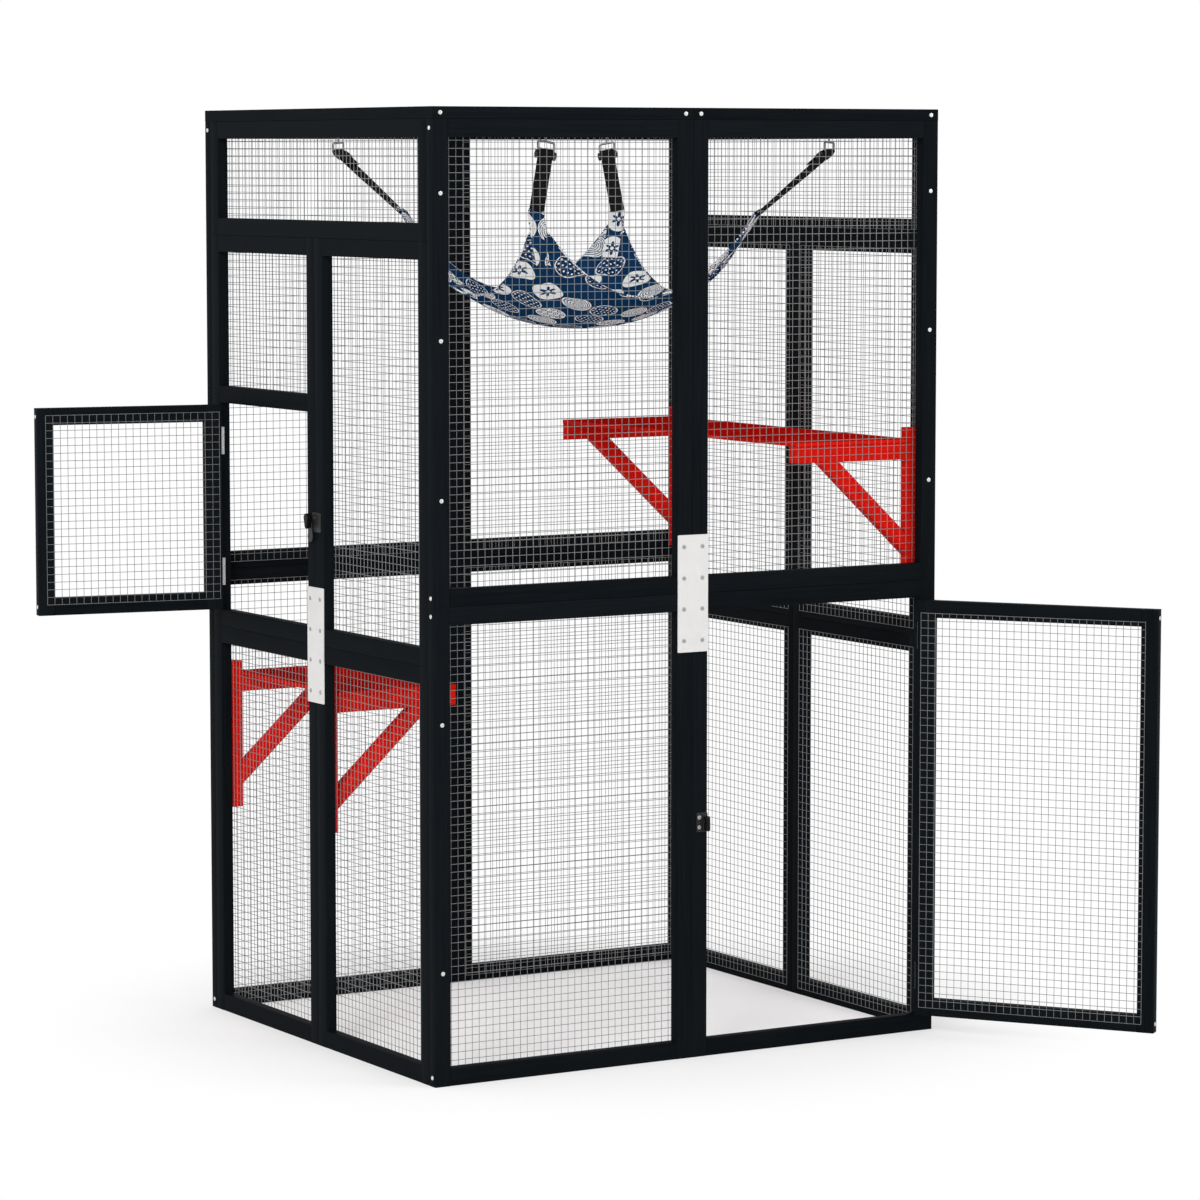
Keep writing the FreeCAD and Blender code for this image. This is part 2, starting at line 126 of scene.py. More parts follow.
def roundedRing(wide, high, radius, inset, steps):
    # rounded rectangles from the origin to (wide, high), drawn in by inset: (k, n, 4 * steps, 2)
    turn = np.radians(np.concatenate([np.linspace(start, start + 90, steps) for start in (180, 270, 0, 90)]))
    right = np.repeat([0, 1, 1, 0], steps)
    top = np.repeat([0, 0, 1, 1], steps)
    wide, high = wide[:, None, None], high[:, None, None]
    inset = inset[None, :, None]
    x = np.where(right, wide - radius, radius) + (radius - inset) * np.cos(turn)
    y = np.where(top, high - radius, radius) + (radius - inset) * np.sin(turn)
    return np.stack([x, y], -1)


def sticks(starts, ends, radius, endRound, steps=4):
    # straight timbers: a rounded rectangle carried from one end's four corners to the other's
    starts, ends = np.asarray(starts, float), np.asarray(ends, float)
    k = len(starts)
    length = np.linalg.norm(ends.mean(1) - starts.mean(1), axis=1)
    part = np.stack([0 * length, endRound / length, 1 - endRound / length, 0 * length + 1], 1)
    inset = np.array([endRound, 0, 0, endRound])
    rings = []
    for quad in (starts, ends):
        sideA, sideB = quad[:, 1] - quad[:, 0], quad[:, 3] - quad[:, 0]
        a, b = np.linalg.norm(sideA, axis=1), np.linalg.norm(sideB, axis=1)
        flat = roundedRing(a, b, radius, inset, steps)
        rings.append(quad[:, 0][:, None, None] + flat[..., :1] * (sideA / a[:, None])[:, None, None]
                     + flat[..., 1:] * (sideB / b[:, None])[:, None, None])
    points = rings[0] * (1 - part)[:, :, None, None] + rings[1] * part[:, :, None, None]
    edge = np.linalg.norm(np.roll(points[:, 1], -1, 1) - points[:, 1], axis=2)
    around = np.concatenate([np.zeros((k, 1)), np.cumsum(edge, 1)], 1) + rng.random((k, 1)) * timber["slideAround"]
    along = part * length[:, None] + rng.random((k, 1)) * timber["slideAlong"]
    return sweep(points, along, around)


def boxEnds(low, high, axis):
    # the two end quads of a block, across its long axis
    i, j = (axis + 1) % 3, (axis + 2) % 3
    quads = []
    for end in (low, high):
        quad = np.tile(np.asarray(low, float), (4, 1))
        quad[:, axis] = end[axis]
        quad[[1, 2], i] = high[i]
        quad[[2, 3], j] = high[j]
        quads.append(quad)
    return quads


def blocks(boxes, radius, endRound, steps=4):
    # timbers given as (low corner, high corner), each along its longest side
    pairs = [boxEnds(low, high, int(np.argmax(np.subtract(high, low)))) for low, high in boxes]
    return sticks([p[0] for p in pairs], [p[1] for p in pairs], radius, endRound, steps)


def swing(points, joint):
    # turns closed-door points about the hinge to where the door stands
    spot, axis = np.array(joint["pos_m"]), np.array(joint["axis"], float)
    angle = math.radians(-joint["range_deg"][0]) * axis[2]
    c, s = math.cos(angle), math.sin(angle)
    turn = np.array([[c, -s, 0], [s, c, 0], [0, 0, 1]])
    return (np.asarray(points) - spot) @ turn.T + spot


# materials

def addNode(tree, kind, values=None, **settings):
    # a node with its settings, and each socket either linked or given a constant
    node = tree.nodes.new(kind)
    for key, value in settings.items():
        setattr(node, key, value)
    for key, value in (values or {}).items():
        if isinstance(value, bpy.types.NodeSocket):
            tree.links.new(value, node.inputs[key])
        else:
            node.inputs[key].default_value = value
    return node


def calc(tree, operation, *values):
    return addNode(tree, "ShaderNodeMath", dict(enumerate(values)), operation=operation).outputs[0]


def blendColour(tree, factor, a, b):
    node = addNode(tree, "ShaderNodeMix", data_type="RGBA")
    for socket, value in ((node.inputs[0], factor), (node.inputs[6], a), (node.inputs[7], b)):
        if isinstance(value, bpy.types.NodeSocket):
            tree.links.new(value, socket)
        else:
            socket.default_value = value
    return node.outputs[2]


def nodeGroup(name, inputs, outputs):
    group = bpy.data.node_groups.new(name, "ShaderNodeTree")
    for label, kind in inputs:
        group.interface.new_socket(label, in_out="INPUT", socket_type=kind)
    for label, kind in outputs:
        group.interface.new_socket(label, in_out="OUTPUT", socket_type=kind)
    return group, group.nodes.new("NodeGroupInput").outputs, group.nodes.new("NodeGroupOutput").inputs


grainLook = {"streak": (5, 160, 1), "pore": (60, 1500, 1), "broad": 9.0, "streakShare": 0.75, "poreShare": 0.25,
             "stickShare": 0.25, "broadShare": 0.3, "rough": 0.4, "roughSwing": 0.22, "deep": 0.00025}
mottleLook = {"speck": 9.0, "cloudShare": 0.7, "speckShare": 0.3, "rough": 0.28, "roughSwing": 0.25, "deep": 0.00005}


def grainGroup():
    # painted softwood: long streaks with the stick, fine pores, and a slight difference from stick to stick
    group, given, out = nodeGroup("paintedGrain",
                                  [("Vector", "NodeSocketVector"), ("Tone", "NodeSocketFloat"),
                                   ("Dark", "NodeSocketColor"), ("Light", "NodeSocketColor")],
                                  [("Color", "NodeSocketColor"), ("Roughness", "NodeSocketFloat"),
                                   ("Height", "NodeSocketFloat")])
    look = grainLook
    stretch = addNode(group, "ShaderNodeMapping", {"Vector": given["Vector"], "Scale": look["streak"]}).outputs[0]
    streak = addNode(group, "ShaderNodeTexNoise",
                     {"Vector": stretch, "Scale": 1.0, "Detail": 6.0, "Distortion": 0.6}).outputs[0]
    pores = addNode(group, "ShaderNodeMapping", {"Vector": given["Vector"], "Scale": look["pore"]}).outputs[0]
    pore = addNode(group, "ShaderNodeTexNoise", {"Vector": pores, "Scale": 1.0, "Detail": 2.0}).outputs[0]
    broad = addNode(group, "ShaderNodeTexNoise",
                    {"Vector": given["Vector"], "Scale": look["broad"], "Detail": 3.0}).outputs[0]
    mix = calc(group, "MULTIPLY_ADD", pore, look["poreShare"], calc(group, "MULTIPLY", streak, look["streakShare"]))
    shade = mix
    for value, share in ((given["Tone"], look["stickShare"]), (broad, look["broadShare"])):  # each about its middle
        shade = calc(group, "ADD", shade, calc(group, "MULTIPLY", calc(group, "SUBTRACT", value, 0.5), share))
    group.links.new(blendColour(group, shade, given["Dark"], given["Light"]), out["Color"])
    group.links.new(calc(group, "MULTIPLY_ADD", streak, look["roughSwing"], look["rough"]), out["Roughness"])
    group.links.new(mix, out["Height"])
    return group


def mottleGroup():
    # plated or coated metal: soft cloudy patches and small specks
    group, given, out = nodeGroup("metalMottle",
                                  [("Vector", "NodeSocketVector"), ("Scale", "NodeSocketFloat"),
                                   ("Dark", "NodeSocketColor"), ("Light", "NodeSocketColor")],
                                  [("Color", "NodeSocketColor"), ("Roughness", "NodeSocketFloat"),
                                   ("Height", "NodeSocketFloat")])
    look = mottleLook
    cloud = addNode(group, "ShaderNodeTexNoise",
                    {"Vector": given["Vector"], "Scale": given["Scale"], "Detail": 4.0}).outputs[0]
    fine = calc(group, "MULTIPLY", given["Scale"], look["speck"])
    speck = addNode(group, "ShaderNodeTexNoise", {"Vector": given["Vector"], "Scale": fine, "Detail": 2.0}).outputs[0]
    shade = calc(group, "MULTIPLY_ADD", speck, look["speckShare"], calc(group, "MULTIPLY", cloud, look["cloudShare"]))
    group.links.new(blendColour(group, shade, given["Dark"], given["Light"]), out["Color"])
    group.links.new(calc(group, "MULTIPLY_ADD", cloud, look["roughSwing"], look["rough"]), out["Roughness"])
    group.links.new(shade, out["Height"])
    return group


def weaveGroup():
    # woven threads: two crossed waves on the cloth's own coordinates
    group, given, out = nodeGroup("weave", [("Vector", "NodeSocketVector"), ("Pitch", "NodeSocketFloat")],
                                  [("Height", "NodeSocketFloat")])
    part = addNode(group, "ShaderNodeSeparateXYZ", {0: given["Vector"]}).outputs
    turns = calc(group, "DIVIDE", 2 * math.pi, given["Pitch"])
    warp = calc(group, "SINE", calc(group, "MULTIPLY", part[0], turns))
    weft = calc(group, "SINE", calc(group, "MULTIPLY", part[1], turns))
    group.links.new(calc(group, "MULTIPLY_ADD", calc(group, "MULTIPLY", warp, weft), 0.5, 0.5), out["Height"])
    return group


grain, mottle, weave = grainGroup(), mottleGroup(), weaveGroup()


def newMaterial(name, **sockets):
    # a material whose Principled sockets are given by name, with _ for a space
    material = bpy.data.materials.new(name)
    material.use_nodes = True
    tree = material.node_tree
    shader = tree.nodes["Principled BSDF"]
    for key, value in sockets.items():
        shader.inputs[key.replace("_", " ")].default_value = value
    return material, tree, shader


def addBump(tree, shader, height, distance, strength=1.0):
    bump = addNode(tree, "ShaderNodeBump", {"Height": height, "Distance": distance, "Strength": strength})
    tree.links.new(bump.outputs[0], shader.inputs["Normal"])


def wearFinish(tree, shader, use, deep):
    # a finish group's colour, roughness and height on the shader
    tree.links.new(use.outputs["Color"], shader.inputs["Base Color"])
    tree.links.new(use.outputs["Roughness"], shader.inputs["Roughness"])
    addBump(tree, shader, use.outputs["Height"], deep)


def paintedTimber(name, dark, light, specular):
    # satin paint that lets the grain show
    material, tree, shader = newMaterial(name, Specular_IOR_Level=specular)
    uv = addNode(tree, "ShaderNodeUVMap", uv_map="UVMap").outputs[0]
    tone = addNode(tree, "ShaderNodeAttribute", attribute_name="tone").outputs["Fac"]
    use = addNode(tree, "ShaderNodeGroup", node_tree=grain,
                  values={"Vector": uv, "Tone": tone, "Dark": dark, "Light": light})
    wearFinish(tree, shader, use, grainLook["deep"])
    return material


def mottledMetal(name, dark, light, scale, metallic, specular=0.5):
    # plated, coated or moulded surfaces with a soft mottle
    material, tree, shader = newMaterial(name, Metallic=metallic, Specular_IOR_Level=specular)
    place = addNode(tree, "ShaderNodeTexCoord").outputs["Object"]
    use = addNode(tree, "ShaderNodeGroup", node_tree=mottle,
                  values={"Vector": place, "Scale": scale, "Dark": dark, "Light": light})
    wearFinish(tree, shader, use, mottleLook["deep"])
    return material


blackPaint = paintedTimber("blackPaint", (0.0019, 0.0028, 0.0038, 1), (0.0084, 0.0104, 0.0126, 1), 0.01)
redPaint = paintedTimber("redPaint", (0.43, 0.004, 0.0015, 1), (0.85, 0.013, 0.005, 1), 0.02)
# painted shade: a darker copy of the red paint, put on the board's top only
boardPaint = paintedTimber("boardPaint", (0.34, 0.0025, 0.001, 1), (0.66, 0.009, 0.004, 1), 0.0)
zincWire = mottledMetal("zincWire", (0.12, 0.122, 0.125, 1), (0.29, 0.293, 0.297, 1), 60.0, 0.5)
whitePlate = mottledMetal("whitePlate", (0.57, 0.563, 0.553, 1), (0.68, 0.671, 0.661, 1), 35.0, 0.0)
screwZinc = mottledMetal("screwZinc", (0.45, 0.45, 0.43, 1), (0.85, 0.85, 0.82, 1), 300.0, 0.7)
screwGrey = mottledMetal("screwGrey", (0.2, 0.2, 0.2, 1), (0.46, 0.46, 0.46, 1), 300.0, 0.4)
hingeZinc = mottledMetal("hingeZinc", (0.42, 0.42, 0.43, 1), (0.66, 0.66, 0.67, 1), 120.0, 0.6)
latchBlack = mottledMetal("latchBlack", (0.0015, 0.0015, 0.0015, 1), (0.005, 0.005, 0.0055, 1), 150.0, 0.0, 0.12)
latchGrey = mottledMetal("latchGrey", (0.008, 0.008, 0.0084, 1), (0.025, 0.025, 0.026, 1), 150.0, 0.2, 0.3)
hookChrome = mottledMetal("hookChrome", (0.17, 0.17, 0.18, 1), (0.42, 0.42, 0.43, 1), 200.0, 0.95)
sliderNylon = mottledMetal("sliderNylon", (0.012, 0.012, 0.013, 1), (0.026, 0.026, 0.028, 1), 200.0, 0.0)
print("materials made")


# timber frames

def frameBoxes(low, high, stilesRun=True, midRail=None):
    # two uprights and two rails filling a node's box, and one rail more at midRail
    low, high = np.array(low), np.array(high)
    thin = int(np.argmin(high - low))
    first, second = [axis for axis in (0, 1, 2) if axis != thin]
    up, side = (second, first) if stilesRun else (first, second)
    face = timber["face"]
    boxes = []
    for end in (0, 1):
        stile, rail = [low.copy(), high.copy()], [low.copy(), high.copy()]
        stile[1 - end][side] = high[side] - face if end else low[side] + face
        rail[1 - end][up] = high[up] - face if end else low[up] + face
        rail[0][side], rail[1][side] = low[side] + face, high[side] - face
        boxes += [stile, rail]
    if midRail is not None:
        extra = [boxes[1][0].copy(), boxes[1][1].copy()]
        extra[0][up], extra[1][up] = midRail, midRail + face
        boxes.append(extra)
    return boxes


def leafBox(kind):
    # the closed leaf of a door, inside its doorway frame
    low, high = (np.array(v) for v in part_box(kind + "way_frame"))
    face, gap = timber["face"], doors["gap"]
    across = 0 if kind == "front_door" else 1
    low[across] += face + gap
    high[across] -= face + gap
    low[2] += face
    high[2] = low[2] + doors["catHigh"] if kind == "cat_door" else high[2] - face
    low[2] += gap
    high[2] -= gap
    return low, high


def timberShell(boxes):
    # sticks with the timber's own rounding
    return blocks(boxes, timber["round"], timber["endRound"], timber["cornerSteps"])


for node in [n for n in frame["nodes"] if n.endswith("_frame")]:
    kind = node[:-6]
    if kind in ("front_door", "cat_door"):
        shell = timberShell(frameBoxes(*leafBox(kind)))
        shell["verts"] = swing(shell["verts"], joints[kind + "_swing"])
    else:
        low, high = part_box(node)
        rail = low[2] + timber["face"] + doors["catHigh"] if node == "cat_doorway_frame" else None
        shell = timberShell(frameBoxes(low, high, not node.startswith("roof"), rail))
    makePiece(kind + "_timber", shell, blackPaint, bodyOf[node], [node])
print("timber frames built")


# welded wire mesh

wires = {"pitch": 0.0145, "radius": 0.00056, "weld": 2.2, "sides": 6, "bow": 0.0007, "stations": 5}
# how far a sheet laps over its frame: low sides, then high sides
sheetLaps = {"wall": ((0.016, 0.020), (0.009, 0.009)), "roof": ((0.0109, 0.0109), (0.0109, 0.0109)),
             "front_door": ((0.009, 0.017), (0.025, 0.009)), "cat_door": ((0.016, 0.012), (0.028, 0.019))}


def wireSheet(low, high, inward, lapLow, lapHigh):
    # a grid of straight wires on the inner face of a frame: one layer each way, welded where they cross
    low, high = np.array(low, float), np.array(high, float)
    thin = int(np.argmin(high - low))
    first, second = [axis for axis in (0, 1, 2) if axis != thin]
    face = timber["face"]
    radius, steps = wires["radius"], wires["stations"]
    inner = high[thin] if inward > 0 else low[thin]
    a0, a1 = low[first] + face - lapLow[0], high[first] - face + lapHigh[0]
    b0, b1 = low[second] + face - lapLow[1], high[second] - face + lapHigh[1]
    turn = np.arange(wires["sides"]) * 2 * math.pi / wires["sides"]
    shells = []
    layers = ((first, second, a0, a1, b0, b1, radius), (second, first, b0, b1, a0, a1, wires["weld"] * radius))
    for across, along, c0, c1, s0, s1, lift in layers:
        count = int(round((c1 - c0) / wires["pitch"])) + 1
        spots = np.linspace(c0, c1, count)
        stations = np.linspace(s0 - radius, s1 + radius, steps)
        points = np.zeros((count, steps, wires["sides"], 3))
        bow = np.sin(np.linspace(0, math.pi, steps)) * (rng.random((count, 1)) - 0.5) * wires["bow"]
        points[..., across] = (spots[:, None] + bow)[:, :, None] + radius * np.cos(turn)
        points[..., along] = stations[None, :, None]
        points[..., thin] = inner + inward * lift + radius * np.sin(turn)
        shells.append(sweep(points, stations - s0, np.linspace(0, 2 * math.pi * radius, wires["sides"] + 1)))
    return joinShells(shells)


panels = {wall: [] for wall in ("front", "back", "left", "right", "roof")}
for node in frame["nodes"]:
    wall = node.split("_")[0]
    if not node.endswith("_frame") or "door_frame" in node or node == "front_doorway_frame":
        continue
    low, high = (np.array(v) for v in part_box(node))
    if node == "cat_doorway_frame":
        wall = "left"
        low[2] += timber["face"] + doors["catHigh"]
    panels[wall].append((low, high))
inwards = {"front": 1, "back": -1, "left": 1, "right": -1, "roof": -1}
for wall, boxes in panels.items():
    node = "roof_mesh" if wall == "roof" else wall + "_wall_mesh"
    laps = sheetLaps["roof" if wall == "roof" else "wall"]
    shell = joinShells([wireSheet(low, high, inwards[wall], *laps) for low, high in boxes])
    makePiece(wall + "_wires", shell, zincWire, bodyOf[node], [node])
for kind in ("front_door", "cat_door"):  # the doors' sheets lap further over the hinge stile
    low, high = leafBox(kind)
    shell = wireSheet(low, high, 1, *sheetLaps[kind])
    shell["verts"] = swing(shell["verts"], joints[kind + "_swing"])
    makePiece(kind + "_wires", shell, zincWire, kind, [kind + "_mesh"])
print("wire mesh built")


# screws and bolts

screw = {"radius": 0.004, "high": 0.0012, "slotHalf": 0.0005, "slotReach": 0.0021, "slotDeep": 0.0007, "sides": 32,
         "rings": (1, 1, 0.93, 0.8, 0.66, 0.54, 0.42, 0.3, 0.18, 0.08),  # shares of the radius, from the rim in
         "rises": (0, 0.45, 0.78, 0.9, 0.96, 0.98, 1, 1, 1, 1),  # and of the height
         "solidTriangles": 28, "sharp": 30}  # an eight-sided head in the frame has 28 triangles


def screwHeads(centres, normals):
    # low domed heads with a cross recess: rings from the rim to the middle, lowered inside the cross
    k = len(centres)
    share, rise = np.array(screw["rings"]), np.array(screw["rises"]) * screw["high"]
    turn = np.arange(screw["sides"]) * 2 * math.pi / screw["sides"]
    x = screw["radius"] * share[:, None] * np.cos(turn)
    y = screw["radius"] * share[:, None] * np.sin(turn)
    near, far = np.minimum(abs(x), abs(y)), np.maximum(abs(x), abs(y))
    inCross = (near < screw["slotHalf"]) & (far < screw["slotReach"])
    z = rise[:, None] - screw["slotDeep"] * inCross
    normals = np.asarray(normals, float)
    upright = np.where(abs(normals[:, 2:]) > 0.9, [[1.0, 0, 0]], [[0, 0, 1.0]])
    sideA = np.cross(upright, normals)
    sideB = np.cross(normals, sideA)
    spin = rng.random((k, 1)) * math.pi
    first = sideA * np.cos(spin) + sideB * np.sin(spin)
    second = sideB * np.cos(spin) - sideA * np.sin(spin)
    points = (np.asarray(centres)[:, None, None] + x[..., None] * first[:, None, None]
              + y[..., None] * second[:, None, None] + z[..., None] * normals[:, None, None])
    return sweep(points, share, np.linspace(0, 1, screw["sides"] + 1))


def nodeHeads(node):
    # the foot and direction of each head in a node: its solids are in order and all alike
    mesh = frame["nodes"][node].data
    corners = np.zeros(len(mesh.loops), np.int32)
    mesh.loops.foreach_get("vertex_index", corners)
    spots = np.zeros(len(mesh.vertices) * 3, np.float32)
    mesh.vertices.foreach_get("co", spots)
    spots = spots.reshape(-1, 3)[corners].reshape(-1, 3, 3)
    count = round(len(spots) / screw["solidTriangles"])
    solids = spots.reshape(count, -1, 3)
    low, high = solids.min(1), solids.max(1)
    middle = (low + high) / 2
    thin = np.argmin(high - low, 1)
    normals = np.zeros((count, 3))
    normals[np.arange(count), thin] = np.sign(middle[np.arange(count), thin])
    return middle - normals * screw["high"] / 2, normals


for node in ("plate_screws", "wall_bolts", "frame_screws"):
    finish = screwGrey if node == "plate_screws" else screwZinc
    makePiece(node + "_heads", screwHeads(*nodeHeads(node)), finish, "enclosure", [node],
              screw["sharp"])
feet, normals = nodeHeads("latch_screws")
onFront = normals[:, 1] < -0.5  # plain heads on the front latch, dark heads in the plate's grey on the cat latch
for name, chosen, finish, replaced in (("latch_screws_heads", onFront, screwGrey, ["latch_screws"]),
                                       ("latch_screws_black_heads", ~onFront, latchGrey, [])):
    makePiece(name, screwHeads(feet[chosen], normals[chosen]), finish, "enclosure", replaced,
              screw["sharp"])
for kind in ("front_door", "cat_door"):
    low, high = leafBox(kind)
    across = 0 if kind == "front_door" else 1
    spot = (low + high) / 2
    spot[across] = low[across]
    feet = np.stack([spot, spot])
    feet[:, 2] = low[2] + timber["face"] / 2, high[2] - timber["face"] / 2
    normals = np.zeros((2, 3))
    normals[:, across] = -1
    joint = joints[kind + "_swing"]
    tips = swing(feet + normals, joint)
    feet = swing(feet, joint)
    makePiece(kind + "_screw_heads", screwHeads(feet, tips - feet), screwZinc, kind,
              [kind + "_screws"], screw["sharp"])
print("screws built")


# joining plates

plate = {"thick": 0.002, "corner": 0.002, "bevel": 0.0005, "halfWide": 0.033, "halfHigh": 0.110, "cornerSteps": 6}


def flatPlate(low, high, outward, thin, corner, bevel):
    # a flat plate with rounded corners and a bevelled rim, standing out along its thin axis
    first, second = [axis for axis in (0, 1, 2) if axis != thin]
    wide, tall, deep = high[first] - low[first], high[second] - low[second], high[thin] - low[thin]
    ring = roundedRing(np.array([wide]), np.array([tall]), corner, np.array([0, 0, bevel]), plate["cornerSteps"])
    points = np.zeros(ring.shape[:3] + (3,))
    points[..., first] = low[first] + ring[..., 0]
    points[..., second] = low[second] + ring[..., 1]
    rise = np.array([0, deep - bevel, deep])[None, :, None]
    points[..., thin] = low[thin] + rise if outward > 0 else high[thin] - rise
    return sweep(points, np.array([0, deep, deep + bevel]), np.linspace(0, 1, ring.shape[2] + 1))


low, high = (np.array(v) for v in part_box("joining_plates"))
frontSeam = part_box("front_upper_left_frame")[0][2]
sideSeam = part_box("left_middle_front_frame")[0][2]
shells = []
for thin, seam in ((1, frontSeam), (0, sideSeam)):
    for outward in (-1, 1):
        a, b = np.full(3, -plate["halfWide"]), np.full(3, plate["halfWide"])
        a[2], b[2] = seam - plate["halfHigh"], seam + plate["halfHigh"]
        a[thin] = low[thin] if outward < 0 else high[thin] - plate["thick"]
        b[thin] = a[thin] + plate["thick"]
        shells.append(flatPlate(a, b, outward, thin, plate["corner"], plate["bevel"]))
makePiece("joining_plate_covers", joinShells(shells), whitePlate, "enclosure", ["joining_plates"],
          sharp=30)
print("joining plates built")


# platforms

platform = {"wide": 0.022, "brace": 0.030, "slope": math.radians(42.6), "boardRound": 0.0015, "boardEnd": 0.0008,
            "topFacing": 0.7}  # faces whose normal rises more than this are the board's top, darkened with painted shade


def platformPieces(side):
    # legs, arms and braces at both ends of each node's box, and the board across them, its top darkened with painted
    # shade
    wide = platform["wide"]
    for part in ("legs", "arms"):
        node = "%s_platform_%s" % (side, part)
        low, high = (np.array(v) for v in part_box(node))
        ends = [(low, np.array([high[0], low[1] + wide, high[2]])),
                (np.array([low[0], high[1] - wide, low[2]]), high)]
        makePiece(node + "_timber", timberShell(ends), redPaint, "enclosure", [node])
    node = "%s_platform_braces" % side
    low, high = (np.array(v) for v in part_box(node))
    level = platform["brace"] / math.sin(platform["slope"])  # the brace's width, cut level
    steep = level * math.tan(platform["slope"])  # and cut upright
    starts, ends = [], []
    for y in (low[1], high[1] - wide):
        if side == "right":
            near, far, back = low[0], low[0] + level, high[0]
        else:
            near, far, back = high[0], high[0] - level, low[0]
        starts.append([(near, y, high[2]), (far, y, high[2]), (far, y + wide, high[2]), (near, y + wide, high[2])])
        ends.append([(back, y, low[2]), (back, y, low[2] + steep),
                     (back, y + wide, low[2] + steep), (back, y + wide, low[2])])
    makePiece(node + "_timber", sticks(starts, ends, timber["round"], timber["endRound"]), redPaint, "enclosure",
              [node])
    node = "%s_platform_board" % side
    shell = blocks([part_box(node)], platform["boardRound"], platform["boardEnd"])
    board = makePiece(node + "_panel", shell, boardPaint, "enclosure", [node])
    board.data.materials.append(redPaint)  # a top darkened with painted shade, and edges like the arms
    # painted shade: faces turned up keep the darker paint, all other faces take the arms' red
    normals = np.zeros(len(board.data.polygons) * 3, np.float32)
    board.data.polygons.foreach_get("normal", normals)
    board.data.polygons.foreach_set("material_index", (normals[2::3] < platform["topFacing"]).astype(np.int32))


for side in ("left", "right"):
    platformPieces(side)
print("platforms built")


# hinges

hinge = {"high": 0.054, "inset": 0.045, "radius": 0.003, "pin": 0.0017, "plateDeep": 0.0125, "plateThick": 0.001,
         "plateNear": 0.0005, "plateFoot": 0.8, "gap": 0.00015, "ease": 0.0003, "pinEnd": 0.0004, "pinTaper": 0.6,
         "sides": 24, "sharp": 35}  # plateFoot: where a plate starts, as a share of the knuckle's radius


def turned(centre, axis, side, heights, radii, sides):
    # a turned form: rings of the given radii at the given heights along its axis
    axis, side = np.array(axis, float), np.array(side, float)
    other = np.cross(axis, side)
    turn = np.arange(sides) * 2 * math.pi / sides
    circle = np.cos(turn)[:, None] * side + np.sin(turn)[:, None] * other
    points = np.array(centre) + np.array(heights)[:, None, None] * axis + np.array(radii)[:, None, None] * circle
    return sweep(points[None], np.array(heights), np.linspace(0, 2 * math.pi * max(radii), sides + 1))


def knuckle(spot, low, high):
    # a short barrel with eased ends
    r, ease = hinge["radius"], hinge["ease"]
    spot = np.array([spot[0], spot[1], 0])
    heights = [low, low + ease, high - ease, high]
    return turned(spot, (0, 0, 1), (1, 0, 0), heights, [r - ease, r, r, r - ease], hinge["sides"])


def hingeSet(kind):
    # two butt hinges: outer knuckles on the fixed plate, the middle one on the door's, a pin through all three
    joint = joints[kind + "_swing"]
    spot = joint["pos_m"]
    low, high = leafBox(kind)
    third, gap = hinge["high"] / 3, hinge["gap"]
    fixed, moving, pins = [], [], []
    for foot in (low[2] + hinge["inset"], high[2] - hinge["inset"] - hinge["high"]):
        fixed += [knuckle(spot, foot, foot + third - gap),
                  knuckle(spot, foot + 2 * third + gap, foot + hinge["high"])]
        moving.append(knuckle(spot, foot + third + gap, foot + 2 * third - gap))
        pin, tapered, end = hinge["pin"], hinge["pin"] * hinge["pinTaper"], hinge["pinEnd"]
        heights = [foot - end, foot, foot + hinge["high"], foot + hinge["high"] + end]
        pins.append(turned((spot[0], spot[1], 0), (0, 0, 1), (1, 0, 0), heights, [tapered, pin, pin, tapered],
                           hinge["sides"]))
        for group, side in ((fixed, 1), (moving, -1)):
            near, far = side * hinge["plateNear"], side * (hinge["plateNear"] + hinge["plateThick"])
            a, b = np.array([0, 0, foot]), np.array([0, 0, foot + hinge["high"]])
            across, inward = (0, 1) if kind == "front_door" else (1, 0)
            a[across], b[across] = spot[across] + min(near, far), spot[across] + max(near, far)
            a[inward] = spot[inward] + hinge["radius"] * hinge["plateFoot"]
            b[inward] = spot[inward] + hinge["plateDeep"]
            group.append(blocks([(a, b)], hinge["ease"], hinge["ease"]))
    leaf = joinShells(moving)
    leaf["verts"] = swing(leaf["verts"], joint)
    for name, shell, body, node in (("_hinge_fixed", joinShells(fixed), "enclosure", "_hinge_plates"),
                                    ("_hinge_moving", leaf, kind, "_hinge_leaves"),
                                    ("_hinge_axle", joinShells(pins), "enclosure", "_hinge_pins")):
        makePiece(kind + name, shell, hingeZinc, body, [kind + node], hinge["sharp"])


hingeSet("front_door")
hingeSet("cat_door")
print("hinges built")


# latches

latch = {"corner": 0.003, "bossHigh": 0.013, "bossRise": 0.008, "tabThick": 0.003, "neck": 0.0045,
         "rim": 0.0004, "knobBevel": 0.0014, "tabBevel": 0.0005, "sides": 48, "sharp": 35,
         # tab and knob: from the pivot to their tips
         "front": {"boss": 0.0042, "tab": 0.018, "tabRound": 0.0055, "knob": 0.0165, "widen": 0.0},
         "cat": {"boss": 0.0085, "tab": 0.038, "tabRound": 0.0105, "knob": 0.012, "widen": 0.010}}


def teardrop(pivot, out, side, thick, length, neck, tip, bevel):
    # a flat tab: a round at the pivot running to a round at the tip, with a bevelled rim
    out, side, down = np.array(out, float), np.array(side, float), np.array([0, 0, -1.0])
    turn = np.linspace(0, 2 * math.pi, latch["sides"], endpoint=False)
    atTip = np.cos(turn) > 0
    radius = np.where(atTip, tip, neck)
    reach = np.where(atTip, length - tip, 0.0)
    inset = np.array([bevel, 0, 0, bevel])
    rise = np.array([0, bevel, thick - bevel, thick])
    x = (radius - inset[:, None]) * np.sin(turn)
    y = reach + (radius - inset[:, None]) * np.cos(turn)
    points = np.array(pivot) + x[..., None] * side + y[..., None] * down + rise[:, None, None] * out
    return sweep(points[None], rise, np.linspace(0, 0.1, latch["sides"] + 1))


